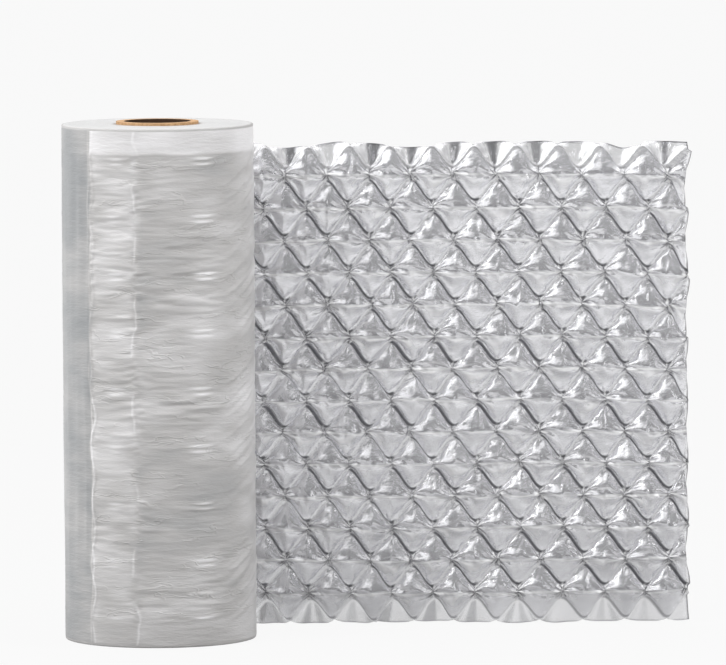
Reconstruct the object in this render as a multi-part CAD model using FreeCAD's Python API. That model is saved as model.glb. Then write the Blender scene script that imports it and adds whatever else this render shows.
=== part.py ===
"""Air pillow film roll, standing on end.

A spiral-wound paper core carries a tight roll of two-ply plastic film. The film's free end leaves
the back of the roll along a tangent and runs on, flat, to a tear-off perforation. The length beyond
it is inflated: wavy heat seals part it into level chains of air cells, joined by narrow necks, and
each chain is shifted by half a cell from the chains above and below it.

Frame: millimetres, +Z up along the core's axis, origin on that axis at the foot of the core. The
film leaves towards +X. One STEP file is written for each piece: core_tube, wound_film and
inflated_length.
"""

import FreeCAD
import Part
import math
import os

# Paper core
core_bore_d = 50.8
core_wall = 6.6
core_proud = 2.0  # how far the core stands above the film's upper edge

# Wound film
film_width = 400.0
roll_d = 152.0
edge_round = 2.5  # the film's edges bed down at both ends of the roll

# Free end: a flat lead, then the inflated length
sheet_t = 0.8  # modelled thickness of the flat two-ply film
lead_bedding = 0.2  # how deep the lead's outer face starts below the roll's surface
lean_deg = 5.0  # the free end comes forward by this much from the roll's back tangent
draw_in = 0.95  # the film loses width as its cells fill, to this share of what it was

# Air cells
chain_count = 14
cell_count = 11
cell_pitch = 33.7
cell_depth = 19.0  # a full cell's thickness
seal_width = 2.0  # flat seal between one chain and the next
edge_margin = 11.5  # flat film above the top chain and below the bottom one
end_seal = 2.7  # flat film beyond the cells at each end of the inflated length
roll_clearance = 3.0  # from the first cells to the roll's surface

core_length = film_width + core_proud
core_r = core_bore_d / 2 + core_wall
roll_r = roll_d / 2

inflated_height = film_width * draw_in
chain_pitch = (inflated_height - 2 * edge_margin) / chain_count
first_chain = edge_margin + chain_pitch / 2

# The cells start where the roll has curved away from the film by their own bulge and the clearance.
curved_away = lead_bedding + sheet_t / 2 + cell_depth / 2 + roll_clearance
cells_start = math.sqrt(roll_r**2 - (roll_r - curved_away) ** 2)
lead_length = cells_start - end_seal
cells_length = cell_count * cell_pitch
inflated_end = cells_start + cells_length + end_seal


def core_tube():
    """Plain parallel tube, cut square at both ends."""
    outside = Part.makeCylinder(core_r, core_length)
    return outside.cut(Part.makeCylinder(core_bore_d / 2, core_length))


def in_roll_frame(shape):
    """Takes a shape from the web's frame to the roll's.

    In the web's frame X runs along the film from where it leaves the roll, Y points away from the
    roll and is 0 on the film's outer face, and Z is up.
    """
    placed = shape.copy()
    placed.translate(FreeCAD.Vector(0, roll_r - lead_bedding, 0))
    placed.rotate(FreeCAD.Vector(0, 0, 0), FreeCAD.Vector(0, 0, 1), -lean_deg)
    return placed


def plate(corners):
    """A flat piece of film, sheet_t thick, with these (along, up) corners."""
    outline = [FreeCAD.Vector(along, -sheet_t, up) for along, up in corners]
    face = Part.Face(Part.makePolygon(outline + outline[:1]))
    return face.extrude(FreeCAD.Vector(0, sheet_t, 0))


def wound_film():
    """All the turns as one ring, with the flat lead as far as the perforation."""
    ring = Part.makeCylinder(roll_r, film_width)
    rims = [edge for edge in ring.Edges if isinstance(edge.Curve, Part.Circle)]
    ring = ring.makeFillet(edge_round, rims)
    ring = ring.cut(Part.makeCylinder(core_r, film_width))
    lead = plate([(0, edge_round), (lead_length, 0), (lead_length, inflated_height),
                  (0, film_width - edge_round)])
    return ring.fuse(in_roll_frame(lead)).removeSplitter()


def chain_bulge(row, side):
    """One face of a chain in section, an arc from seal to seal. Side is -1 in front and 1 behind."""
    face = -sheet_t / 2 + side * sheet_t / 2
    crown = -sheet_t / 2 + side * cell_depth / 2
    middle = first_chain + row * chain_pitch
    half = (chain_pitch - seal_width) / 2
    lower = FreeCAD.Vector(cells_start, face, middle - half)
    top = FreeCAD.Vector(cells_start, crown, middle)
    upper = FreeCAD.Vector(cells_start, face, middle + half)
    return Part.Arc(lower, top, upper).toShape()


def air_chain(row):
    """One chain as a plain tube of its mean section: it has no necks, and its seals run straight."""
    front = chain_bulge(row, -1)
    back = chain_bulge(row, 1)
    ends = zip(front.Vertexes, back.Vertexes)
    below, above = [Part.makeLine(one.Point, other.Point) for one, other in ends]
    outline = Part.Wire([front, above, back, below])
    return Part.Face(outline).extrude(FreeCAD.Vector(cells_length, 0, 0))


def inflated_length():
    """The sealed flat film with its chains of air cells standing out on both faces."""
    film = plate([(lead_length, 0), (inflated_end, 0), (inflated_end, inflated_height),
                  (lead_length, inflated_height)])
    chains = [air_chain(row) for row in range(chain_count)]
    return in_roll_frame(film.multiFuse(chains).removeSplitter())


def export(name, shape):
    """Writes one piece to parts/NAME.step, and prints what it is."""
    print(f"{name}: valid {shape.isValid()}, solids {len(shape.Solids)}, volume {shape.Volume:.0f} mm3")
    shape.exportStep(f"parts/{name}.step")


os.makedirs("parts", exist_ok=True)
export("core_tube", core_tube())
export("wound_film", wound_film())
export("inflated_length", inflated_length())
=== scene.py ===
import math
import time
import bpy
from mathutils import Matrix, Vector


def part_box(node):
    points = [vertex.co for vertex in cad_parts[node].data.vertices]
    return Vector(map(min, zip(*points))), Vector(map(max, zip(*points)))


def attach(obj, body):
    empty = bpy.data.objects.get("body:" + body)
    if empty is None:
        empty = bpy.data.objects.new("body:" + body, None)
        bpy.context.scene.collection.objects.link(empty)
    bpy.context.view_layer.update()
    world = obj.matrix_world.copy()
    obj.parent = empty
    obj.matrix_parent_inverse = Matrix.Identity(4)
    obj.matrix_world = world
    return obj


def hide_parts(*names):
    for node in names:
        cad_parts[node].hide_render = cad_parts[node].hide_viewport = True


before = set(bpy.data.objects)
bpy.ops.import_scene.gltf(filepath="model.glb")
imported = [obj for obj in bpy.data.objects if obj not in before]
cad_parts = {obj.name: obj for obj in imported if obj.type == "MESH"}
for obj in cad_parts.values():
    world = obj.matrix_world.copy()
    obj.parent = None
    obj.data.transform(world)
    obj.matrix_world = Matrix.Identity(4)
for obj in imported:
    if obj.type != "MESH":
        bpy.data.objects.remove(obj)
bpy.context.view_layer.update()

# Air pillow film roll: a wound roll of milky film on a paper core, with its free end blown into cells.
from types import SimpleNamespace

import bpy
import numpy as np
from mathutils import Euler, Vector

mm = 0.001
startTime = time.time()
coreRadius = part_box("core_tube")[1].x
rollLow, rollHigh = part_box("wound_film")
webLow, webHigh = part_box("inflated_length")
rollRadius = rollHigh.x
rollHeight = rollHigh.z - rollLow.z


# Prints a stage after the seconds since the start.
def report(stage):
    print(f"[{time.time() - startTime:6.1f} s] {stage}", flush=True)


# Smooth random numbers on a wrapped grid: white noise blurred by a Gaussian, given in grid steps
# down and across, then brought to a mean of 0 and a spread of 1.
def smoothNoise(rows, columns, blurRows, blurColumns, seed):
    noise = np.random.default_rng(seed).standard_normal((rows, columns))
    down = np.fft.fftfreq(rows)[:, None] * blurRows
    across = np.fft.fftfreq(columns)[None, :] * blurColumns
    blurred = np.fft.ifft2(np.fft.fft2(noise) * np.exp(-2 * np.pi**2 * (down**2 + across**2))).real
    blurred -= blurred.mean()
    return blurred / blurred.std()


# Noise as a strength: even + spread * noise, kept between least and most.
def strengthFrom(noise, even, spread, least, most):
    return np.clip(even + spread * noise, least, most)


# A rise from 0 to 1 as x goes from low to high, level at both ends: 3t^2 - 2t^3.
def smoothStep(low, high, x):
    t = np.clip((x - low) / (high - low), 0, 1)
    return t * t * (3 - 2 * t)


# Rises from 0 to 1 over one range of x, and falls back to 0 over another.
def plateau(rise, fall, x):
    return smoothStep(*rise, x) * (1 - smoothStep(*fall, x))


# A hump of height 1 about x = 0: exp(-(x / width)^2).
def bell(x, width):
    return np.exp(-(x / width) ** 2)


# The value from low to high that a number from 0 to 1 picks: low + (high - low) * pick.
def chosen(low, high, pick):
    return low + (high - low) * pick


# Quads between neighbours of a grid of points, rows by columns, counted from an offset. Turned
# round they face the other way, and wrapped the last column and row join the first ones.
def gridQuads(rows, columns, offset=0, turned=False, wrapped=False):
    index = np.arange(rows * columns).reshape(rows, columns) + offset
    if wrapped:
        index = np.hstack([index, index[:, :1]])
        index = np.vstack([index, index[:1]])
    corners = [index[:-1, :-1], index[:-1, 1:], index[1:, 1:], index[1:, :-1]]
    if turned:
        corners.reverse()
    return np.stack(corners, axis=-1).reshape(-1, 4)


# Quads of a closed shell of two grids of points, a front one and then a back one, joined round the rim.
def shellQuads(rows, columns):
    count = rows * columns
    index = np.arange(count).reshape(rows, columns)
    rim = np.concatenate([index[0, :], index[1:, -1], index[-1, -2::-1], index[-2:0:-1, 0]])
    following = np.roll(rim, -1)
    border = np.stack([rim, rim + count, following + count, following], axis=-1)
    return np.concatenate([gridQuads(rows, columns), gridQuads(rows, columns, count, turned=True), border])


# A smooth mesh piece from points, one to a row and in metres, and quads of their numbers.
def meshFromQuads(name, points, quads):
    mesh = bpy.data.meshes.new(name)
    mesh.vertices.add(len(points))
    mesh.vertices.foreach_set("co", np.ascontiguousarray(points, dtype=np.float32).ravel())
    mesh.loops.add(quads.size)
    mesh.loops.foreach_set("vertex_index", np.ascontiguousarray(quads, dtype=np.int32).ravel())
    mesh.polygons.add(len(quads))
    mesh.polygons.foreach_set("loop_start", np.arange(0, quads.size, 4, dtype=np.int32))
    mesh.polygons.foreach_set("use_smooth", np.full(len(quads), True))
    mesh.update(calc_edges=True)
    mesh.validate()
    piece = bpy.data.objects.new(name, mesh)
    bpy.context.scene.collection.objects.link(piece)
    return piece


# Gives each point of a piece a number that its material reads by name.
def pointAttribute(piece, name, values):
    attribute = piece.data.attributes.new(name, "FLOAT", "POINT")
    attribute.data.foreach_set("value", np.ascontiguousarray(values, dtype=np.float32).ravel())


inflated = {
    # The flat web, in millimetres, before the air draws it in
    "chains": 14,
    "cells": 11,
    "chainPitch": 29.2,
    "cellPitch": 37.6,
    "patternShift": 2.0,
    "neckHalf": 6.4,
    "sealWidth": 1.8,
    "edgeMargin": 13.5,
    "endSeal": 3.2,
    "sealPeak": 0.82,  # 1 is a sharp zigzag, 0 a plain wave
    "sealWander": 0.35,
    "wanderGrid": (256, 0.01, 6),  # samples along a seal, and their blur from seal to seal and along
    "seed": 5,
    # Blowing it up
    "startHeight": (0.4, 0.3),  # a cell's least first height, and what chance adds
    "startRipple": (0.6, 2.0, 1.6),  # the margins' first height, and its blur in grid steps
    "pressureSpread": 0.16,
    "pressureGrid": (240, 8, 11),  # samples each way, and their blur up and along
    "slackPlace": (352, 345),  # a patch with less air, along and up
    "slackReach": 26,
    "slackShare": 0.8,
    "speedKept": 0.985,  # at each step
    # Each pass: grid step along, rows in a chain, rows in a margin, steps, push of the air, smoothing
    # of the cells and of the margins, and how well the film resists being squeezed
    "passes": (
        (4.2, 8, 4, 900, 0.040, 0.00, 0.10, 0.3),
        (2.1, 14, 8, 900, 0.012, 0.00, 0.05, 0.8),
        (1.4, 22, 11, 600, 0.006, 0.02, 0.03, 0.8),
    ),
    # Straightening it
    "rowBlurs": 4,
    "rowBlurFall": 5,  # how fast that blur weakens away from a seal
    "rowBlurLeast": 0.35,  # the share of it that is left in mid-cell
    "columnBlur": 0.5,
    "endBlurs": 30,
    "endColumns": 3.0,
    "rowReach": 1.3,  # in bands
    "columnReach": 30,
    # The finished grid, and where it hangs
    "finishStep": 1.05,
    "finishRows": 20,
    "finishMarginRows": 16,
    "finishSealRows": 2,
    "finishCrowding": 0.5,
    "cellBlurs": (3, 1),  # up and along
    "tent": 0.45,  # 0 leaves the cells round, and more makes them slope evenly
    "tentDepth": 9.5,
    "foldsFrom": (0, 1.4),  # the height over which a cell's folds begin
    "marginFoldsFrom": (0.9, 3),  # and the distance from the seal in the margins
    "edgeDips": ((63, 4.6, 20), (176, 4.8, 24), (367, 6.0, 11)),  # place, depth and reach
    "airBlurs": 2,
    "lean": 5.0,  # degrees that the film comes forward
    "bedding": 0.2,  # how deep its outer face starts below the roll's surface
    "sheet": 0.8,  # the flat film's thickness in the CAD
    "filmHalf": 0.22,  # half the drawn thickness of the flat film
    # Folds too fine for the blowing, in millimetres of the flat film. Two numbers are a range's ends
    "folds": {
        "neckFolds": (5.5, 10.5),  # how many run out from each neck
        "neckFoldDepth": (0.55, 1.65),
        "neckFoldReach": 7.0,
        "neckFoldTwist": 0.25,  # radians a millimetre
        "valleySlope": 32,  # one deep fold runs down from each side of a neck, in degrees
        "valleyDepth": 0.8,
        "valleyWidth": 0.9,
        "ridgeSlope": 38,  # and one ridge up to its right
        "ridgeHeight": 0.6,
        "ridgeWidth": 1.0,
        "neckTilt": (-5, 5),  # degrees
        "neckFrom": (1.0, 3.0),  # the distance from the neck at which these lines begin
        "neckLength": (6.3, 11.7),
        "neckFade": (0.6, 1.0),  # the shares of their length over which they fade
        "pucker": 0.32,  # short folds across the seals
        "puckerPitch": 4.3,
        "puckerReach": 3.6,
        "puckerFrom": (0.8, 2.2),
        "puckerWander": 1.6,
        "shoulder": 0.35,  # small ridge beside each seal
        "shoulderPlace": 1.9,  # from the seal
        "shoulderWidth": 0.6,
        "lip": 0.6,  # how far each cell's upper half stands over its lower half
        "lipStep": 5.0,
        "lipReach": 8.0,
        "lipFrom": (0.0, 0.25),
        "lipWander": 0.5,
        "lens": 0.5,  # height of the creases that bow from neck to neck
        "lenses": ((-3.4, 0.9), (-6.4, 0.7), (-9.2, 0.5), (3.8, 0.45)),  # each one's bow and strength
        "lensWidth": 0.7,
        "lensFrom": (0.02, 0.25),
        "lensGap": (1.5, 4.0),
        "lensWander": 0.5,
        # Where the painted shade along each lens crease's upper side lies, and how wide it is
        "lensShadePlace": 1.4,
        "lensShadeWidth": 0.8,
        "pleats": 6.5,  # waves in a full turn about a neck, in the margins
        "pleatTurn": (-1.2, 1.2),
        "marginFan": (0.75, 2.25),
        "fanReach": 9,
        "fanMost": 1.3,
        "marginNeckFolds": 0.4,  # share of the neck folds left in the margins
        "crinkle": (0.192, 0.256),  # heights of the fine and the broad one
        # How dark each line is drawn, from 0 to 1: a little for each weld and along the film's edges, and
        # painted shade on the seals that fall to the right, on one side of each pleat, in the valleys,
        # spots and rays at the necks, above each waist and along the lens creases
        # The seals: a little darkening for the weld itself, and painted shade where a seal falls to the
        # right
        "sealWidth": 1.1,
        "sealShade": (0.2, 1.0),  # where it climbs, and where it falls to the right
        "sealFall": (-0.1, 0.6),  # the slopes between which it darkens
        "sealShifts": (-0.8, 3.6),  # how far past the falling stretch the dark one begins and ends
        "topSealShade": 0.2,
        "lowSealShade": 0.45,
        "borderShade": 0.9,  # along the top and the end
        "borderWidth": 0.9,
        "footShade": 0.5,
        "footWidth": 0.8,
        # Painted shade on one side of each pleat in the margins and painted highlight on the other, in
        # patches along the lower margin
        "pleatShade": 0.55,
        "lowPleatShade": 0.3,
        "pleatDark": (0.1, 0.9),
        "pleatHighlight": (0.0, 0.8),
        "pleatUneven": (0.5, 0.4),  # share of noise in their dark and in their white sides
        "pleatPick": (-0.3, 1.5),  # strength of a fan, by chance, held between 0 and 1
        "pleatGap": (1.0, 4.0),
        # Painted shade in the valleys at the necks, along the lens creases and above each cell's waist
        "valleyShade": 0.35,
        # Painted shade in spots about each neck
        "neckSpotShade": 0.7,
        "neckSpotFrom": (0.9, 1.6),
        "neckSpotReach": 3.5,
        # Painted shade on the dark side of the rays about each neck
        "starShade": 0.6,
        "lensShade": 0.3,
        "waistShade": 0.32,
        "waistReach": 4.5,
        "waistFrom": (0.1, 0.5),
        "crumpleReach": 5.5,
        # Painted highlight and painted shade in rays about each neck, and how strong each painted highlight
        # is
        "starRays": (6.5, 9.5),
        "starStrength": (0.7, 1.3),
        "starReach": 7.5,
        "starFrom": (0.5, 2.0),
        "starTwist": 0.2,
        "starWander": 0.7,
        "starEdge": (0.15, 0.5),
        # Painted highlight along each cell's waist, and over the lens creases and neck ridges
        "waistHighlight": -0.9,
        "waistHighlightWidth": 1.15,
        "waistHighlightFrom": (0.01, 0.15),
        "lensHighlight": 0.95,
        "ridgeHighlight": 0.8,
        "pleatHighlightShare": 0.6,
        "lowPatches": (-0.3, 1.1),
        # Noise: blur in grid steps up and along, and what is added to the seed
        "seed": 11,
        "noise": {
            "fineCrinkle": (1.6, 1.3, 3),
            "broadCrinkle": (4, 3.5, 4),
            "puckerWander": (7, 5, 5),
            "pucker": (9, 7, 6),
            "lipWander": (6, 8, 7),
            "lip": (14, 11, 8),
            "neckShadeSpots": (1.0, 0.8, 9),
            "paintedHighlight": (9, 7, 10),
            "star": (3, 3, 11),
            "pleats": (40, 9, 12),
            "lowPatches": (40, 9, 13),
            "lens": (8, 9, 15),
            "lensWander": (5, 9, 16),
        },
        # Strengths: even part, share of the noise of that name, least and most
        "strength": {
            "pucker": (0.6, 0.6, 0, 1.8),
            "lip": (0.7, 0.5, 0.1, 1.6),
            "lens": (0.75, 0.5, 0, 1.3),
            "paintedHighlight": (0.9, 0.35, 0, 1),
        },
    },
}
folds = inflated["folds"]
leanAngle = math.radians(inflated["lean"])


# The seal lines between chains: level + side * swing * arcsin(peak * cos(turn)) / arcsin(peak), a
# rounded zigzag one cell long, with every second one shifted by half a cell, and a slow wander.
def sealLines(along):
    swing = (inflated["chainPitch"] - inflated["sealWidth"] - 2 * inflated["neckHalf"]) / 2
    start = inflated["endSeal"] + inflated["patternShift"]
    turn = np.cos(2 * np.pi * (along - start) / inflated["cellPitch"])
    zigzag = np.arcsin(inflated["sealPeak"] * turn) / math.asin(inflated["sealPeak"])
    order = np.arange(inflated["chains"] + 1)
    sides = np.where(order % 2 == 0, 1.0, -1.0)
    samples, blurApart, blurOn = inflated["wanderGrid"]
    wander = smoothNoise(len(order), samples, blurApart, blurOn, inflated["seed"])
    places = np.linspace(0, samples - 1, len(along))
    drift = np.array([np.interp(places, np.arange(samples), row) for row in wander])
    level = inflated["edgeMargin"] + order * inflated["chainPitch"]
    return level[:, None] + sides[:, None] * swing * zigzag[None, :] + inflated["sealWander"] * drift


# Each grid row's band and its place in it: even bands are the margins and chains, odd bands are the
# seals. Crowding, from 0 to 1, draws the rows of a chain towards its seals and its middle:
# share - crowding * sin(4 pi * share) / (4 pi).
def filmBands(chainRows, marginRows, sealRows, crowding):
    share = np.arange(chainRows) / chainRows
    chainShare = share - crowding * np.sin(4 * np.pi * share) / (4 * np.pi)
    sealShare = np.arange(sealRows) / sealRows
    parts = [np.arange(marginRows) / marginRows]
    for chain in range(inflated["chains"]):
        parts += [2 * chain + 1 + sealShare, 2 * chain + 2 + chainShare]
    last = 2 * inflated["chains"] + 1
    parts += [last + sealShare, last + 1 + np.arange(marginRows + 1) / marginRows]
    return np.concatenate(parts)


# The flat film as a grid whose rows follow the seals: each row lies between its band's two edges, by
# its place in the band.
def flatFilm(step, bands):
    width = 2 * inflated["endSeal"] + inflated["cells"] * inflated["cellPitch"]
    height = 2 * inflated["edgeMargin"] + inflated["chains"] * inflated["chainPitch"]
    along = np.linspace(0, width, int(round(width / step)) + 1)
    lines = sealLines(along)
    halfSeal = inflated["sealWidth"] / 2 * np.sqrt(1 + np.gradient(lines, along, axis=1) ** 2)
    edges = np.stack([lines - halfSeal, lines + halfSeal], axis=1).reshape(-1, len(along))
    edges = np.vstack([np.zeros(len(along)), edges, np.full(len(along), height)])
    base = np.minimum(bands.astype(int), len(edges) - 2)
    part = (bands - base)[:, None]
    up = edges[base] * (1 - part) + edges[base + 1] * part
    return np.broadcast_to(along, up.shape), up


# Which points of the grid have air behind them, and which are welded. The rest is free margin.
def filmZones(along, bands):
    inner = (along > inflated["endSeal"]) & (along < along.max() - inflated["endSeal"])
    rows = bands[:, None]
    margin = (rows < 1) | (rows > bands[-1] - 1)
    inChain = (rows.astype(int) % 2 == 0) & (rows % 1 > 0) & ~margin
    filled = inChain & inner
    return filled, ~filled & ~margin


# Cross product of the grid's two directions: it points out of the ply, as long as a grid square's area.
def outward(points):
    across = np.gradient(points, axis=2)
    upward = np.gradient(points, axis=1)
    return np.cross(across, upward, axis=0)


# Moves each pair of points together or apart by 1 - rest / length of the line between them, half to
# each. Slack film gives way, so a pair that is too close is moved by less.
def holdLength(first, second, rest, squeezed):
    notZero = np.float32(1e-9)
    gap = second - first
    length = np.sqrt(gap[0] * gap[0] + gap[1] * gap[1] + gap[2] * gap[2]) + notZero
    share = 1 - rest / length
    share *= np.where(share > 0, np.float32(0.5), np.float32(0.5 * squeezed))
    gap *= share
    first += gap
    second -= gap


# Pairs of neighbours along, up and across the squares, in sets that share no point, each with
# its length in the flat film.
def filmThreads(flat):
    rows, columns = flat.shape[1:]
    every = slice(None)
    pairs = []
    for start in (0, 1):
        near = slice(start, start + (columns - start) // 2 * 2, 2)
        far = slice(start + 1, start + 1 + (columns - start) // 2 * 2, 2)
        pairs.append(((every, every, near), (every, every, far)))
    for start in (0, 1):
        near = slice(start, start + (rows - start) // 2 * 2, 2)
        far = slice(start + 1, start + 1 + (rows - start) // 2 * 2, 2)
        pairs.append(((every, near, every), (every, far, every)))
        left, right = slice(0, columns - 1), slice(1, columns)
        pairs.append(((every, near, left), (every, far, right)))
        pairs.append(((every, near, right), (every, far, left)))
    return [(one, other, np.sqrt(((flat[one] - flat[other]) ** 2).sum(axis=0)).astype(np.float32))
            for one, other in pairs]


# Blows the ply up a little at each step and pulls its threads back to length, with inertia, until
# it comes to rest. It stays on its own side of the welds' plane, and the welds stay in that plane.
def relaxFilm(points, threads, steps, force, smoothing, squeezed, welded, filled):
    speed = np.zeros_like(points)
    for _ in range(steps):
        before = points.copy()
        speed *= np.float32(inflated["speedKept"])
        points += speed + outward(points) * force
        for first, second, rest in threads:
            holdLength(points[first], points[second], rest, squeezed)
        height = points[2]
        bend = np.zeros_like(height)
        bend[:, 1:-1] += height[:, 2:] + height[:, :-2] - 2 * height[:, 1:-1]
        bend[1:-1] += height[2:] + height[:-2] - 2 * height[1:-1]
        height += bend * smoothing
        height[welded] = 0
        np.maximum(height, 0, out=height, where=filled)
        speed = points - before
    return points


# Carries a coarse film to a finer grid, straight between its points.
def refineFilm(points, oldBands, newBands, columns):
    place = np.interp(newBands, oldBands, np.arange(len(oldBands)))
    base = np.minimum(place.astype(int), len(oldBands) - 2)
    part = (place - base)[None, :, None]
    points = points[:, base] * (1 - part) + points[:, base + 1] * part
    place = np.linspace(0, points.shape[2] - 1, columns)
    base = np.minimum(place.astype(int), points.shape[2] - 2)
    part = (place - base)[None, None, :]
    points = points[:, :, base] * (1 - part) + points[:, :, base + 1] * part
    return np.ascontiguousarray(points, dtype=np.float32)


# The flat film's first shape: cells a little up, by chance, and margins rippled.
def startFilm(flat, filled):
    least, more = inflated["startHeight"]
    ripple, blurUp, blurOn = inflated["startRipple"]
    cells = least + more * np.random.default_rng(inflated["seed"]).random(filled.shape)
    margins = ripple * smoothNoise(*filled.shape, blurUp, blurOn, inflated["seed"] + 1)
    points = flat.astype(np.float32)
    points[2] = np.where(filled, cells, margins)
    return points


# The air behind each point: 1 + spread * noise, times 1 - share * exp(-(distance / reach)^4) about
# the slack patch.
def airPressure(along, up):
    samples, blurUp, blurOn = inflated["pressureGrid"]
    noise = smoothNoise(samples, samples, blurUp, blurOn, inflated["seed"] + 2)
    last = samples - 1
    places = (up / up.max() * last).astype(int), (along / along.max() * last).astype(int)
    slackAlong, slackUp = inflated["slackPlace"]
    away = np.hypot(along - slackAlong, up - slackUp) / inflated["slackReach"]
    left = 1 - inflated["slackShare"] * np.exp(-away**4)
    return (1 + inflated["pressureSpread"] * noise[places]) * left


# Blows up one ply in passes, each on a finer grid. The force on a point is air * push / step^2, along
# the outward vector there.
def inflateFilm():
    points, oldBands = None, None
    for step, chainRows, marginRows, steps, push, cellSmooth, edgeSmooth, squeezed in inflated["passes"]:
        bands = filmBands(chainRows, marginRows, 1, 0)
        along, up = flatFilm(step, bands)
        filled, welded = filmZones(along, bands)
        flat = np.stack([along, up, np.zeros_like(up)])
        if points is None:
            points = startFilm(flat, filled)
        else:
            points = refineFilm(points, oldBands, bands, along.shape[1])
        oldBands = bands
        force = (filled * airPressure(along, up) * push / step**2).astype(np.float32)
        smoothing = np.where(filled, cellSmooth, edgeSmooth).astype(np.float32)
        points = relaxFilm(points, filmThreads(flat), steps, force, smoothing, squeezed, welded, filled)
        report(f"film blown on a {step} mm grid: {points[2].max():.1f} mm deep, "
               f"{np.ptp(points[0]):.0f} by {np.ptp(points[1]):.0f} mm")
    return points, bands


# Runs a 1-2-1 blur along one axis of the grid a few times, keeping the border points.
def blurAlong(points, axis, times, share):
    points = np.moveaxis(points.copy(), axis, -1)
    for _ in range(times):
        points[..., 1:-1] += share * (points[..., 2:] + points[..., :-2] - 2 * points[..., 1:-1]) / 4
    return np.moveaxis(points, -1, axis)


# Each value's average with its neighbours: sum(weight * value) / sum(weight), where the weight is a
# bell over the distance between places.
def bellAverage(values, places, reach):
    weights = bell(places[:, None] - places[None, :], reach)
    weights /= weights.sum(axis=1, keepdims=True)
    return weights @ values


# Takes the seals' grid-scale zigzag out, and gives the film straight ends and edges: each row becomes
# (x - left) / (right - left), with its two ends averaged over its neighbours', and each column does
# the same. Sizes come back as shares of 1.
def straightenFilm(points, bands):
    part = bands % 1
    nearSeal = 1 - np.minimum(part, 1 - part) * inflated["rowBlurFall"]
    share = np.clip(np.where(bands.astype(int) % 2 == 1, 1.0, nearSeal), inflated["rowBlurLeast"], 1)
    points = blurAlong(points.astype(float), 2, inflated["rowBlurs"], share[None, :, None])
    x, y, z = blurAlong(points, 1, 1, inflated["columnBlur"])
    column = np.arange(x.shape[1])
    atEnds = np.exp(-np.minimum(column, column[::-1]) / inflated["endColumns"])
    x = x + atEnds * (blurAlong(x, 0, inflated["endBlurs"], 1.0) - x)
    left, right = [bellAverage(x[:, end], bands, inflated["rowReach"]) for end in (0, -1)]
    x = (x - left[:, None]) / (right - left)[:, None]
    low, high = [bellAverage(y[edge], column, inflated["columnReach"]) for edge in (0, -1)]
    y = (y - low[None, :]) / (high - low)[None, :]
    return np.stack([(x - x.min()) / np.ptp(x), (y - y.min()) / np.ptp(y), z])


# One of the folds' noises, over the grid.
def foldNoise(at, name):
    blurUp, blurOn, number = folds["noise"][name]
    return smoothNoise(*at.up.shape, blurUp, blurOn, folds["seed"] + number)


# One of the folds' strengths, over the grid.
def foldStrength(at, name):
    return strengthFrom(foldNoise(at, name), *folds["strength"][name])


# What lies about each point of the flat film. Across and upward lead to it from the nearest neck, which
# also gives three chance values. Between is 0 in line with a neck and 1 halfway to the next,
# sin(pi * across / cell)^2. Gap is the distance to the nearest seal, and run the way along that seal.
# Waist is the height over the chain's middle, a wandering line, and pleat the turn of the pleats' wave.
def filmPlaces(along, up, bands):
    pitch = inflated["cellPitch"]
    order = np.arange(inflated["chains"])
    middle = inflated["edgeMargin"] + (order + 0.5) * inflated["chainPitch"]
    chain = np.clip(np.round((up - middle[0]) / inflated["chainPitch"]), 0, order[-1]).astype(int)
    first = inflated["endSeal"] + inflated["patternShift"] + np.where(chain % 2 == 0, 0.0, 0.5) * pitch
    number = np.round((along - first) / pitch).astype(int)
    across = along - first - number * pitch
    upward = up - middle[chain]
    picks = np.random.default_rng(folds["seed"]).random((3, inflated["chains"], inflated["cells"] + 3))
    phase, count, depth = picks[:, chain, number + 1]
    lines = sealLines(along[0])
    steepness = np.sqrt(1 + np.gradient(lines, along[0], axis=1) ** 2)
    gaps = np.abs(up[None] - lines[:, None, :]) / steepness[:, None, :]
    nearest = gaps.argmin(axis=0)
    runs = np.cumsum(steepness, axis=1) * (along[0, 1] - along[0, 0])
    at = SimpleNamespace(along=along, up=up, across=across, upward=upward, phase=phase, count=count,
                         depth=depth, nearest=nearest, gap=gaps.min(axis=0))
    at.run = np.take_along_axis(runs, nearest, axis=0)
    at.away = np.hypot(across, upward)
    at.angle = np.arctan2(upward, across)
    at.between = np.sin(np.pi * np.clip(across / pitch, -0.5, 0.5)) ** 2
    at.waist = upward - folds["lipWander"] * foldNoise(at, "lipWander")
    at.pleat = folds["pleats"] * (np.abs(at.angle) - np.pi / 2) + chosen(*folds["pleatTurn"], phase)
    at.lowMargin = bands[:, None] < 1
    at.inMargin = at.lowMargin | (bands[:, None] > bands[-1] - 1)
    return at


# Rays about each neck: cos(count * angle + 2 pi * phase + twist), with a whole count picked from a range.
def neckRays(at, counts, twist):
    return np.cos(np.round(chosen(*counts, at.count)) * at.angle + 2 * np.pi * at.phase + twist)


# Folds that run out from each neck, deepest at their reach: rays * share * exp(1 - share), where
# share is the distance over the reach.
def neckFolds(at):
    share = at.away / folds["neckFoldReach"]
    rays = neckRays(at, folds["neckFolds"], folds["neckFoldTwist"] * at.away)
    return chosen(*folds["neckFoldDepth"], at.depth) * rays * share * np.exp(1 - share)


# A valley down each side of a neck and a ridge up to its right, each a bell about a sloping line.
def neckLines(at):
    tilt = np.radians(chosen(*folds["neckTilt"], at.phase))
    steady = smoothStep(*folds["neckFrom"], at.away)
    steady *= 1 - smoothStep(*folds["neckFade"], at.away / chosen(*folds["neckLength"], at.depth))
    side = np.arctan2(at.upward, np.abs(at.across))
    valley = bell((side + np.radians(folds["valleySlope"]) + tilt) * at.away, folds["valleyWidth"])
    ridge = bell((at.angle - np.radians(folds["ridgeSlope"]) - tilt) * at.away, folds["ridgeWidth"])
    return valley * steady, ridge * steady


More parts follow.
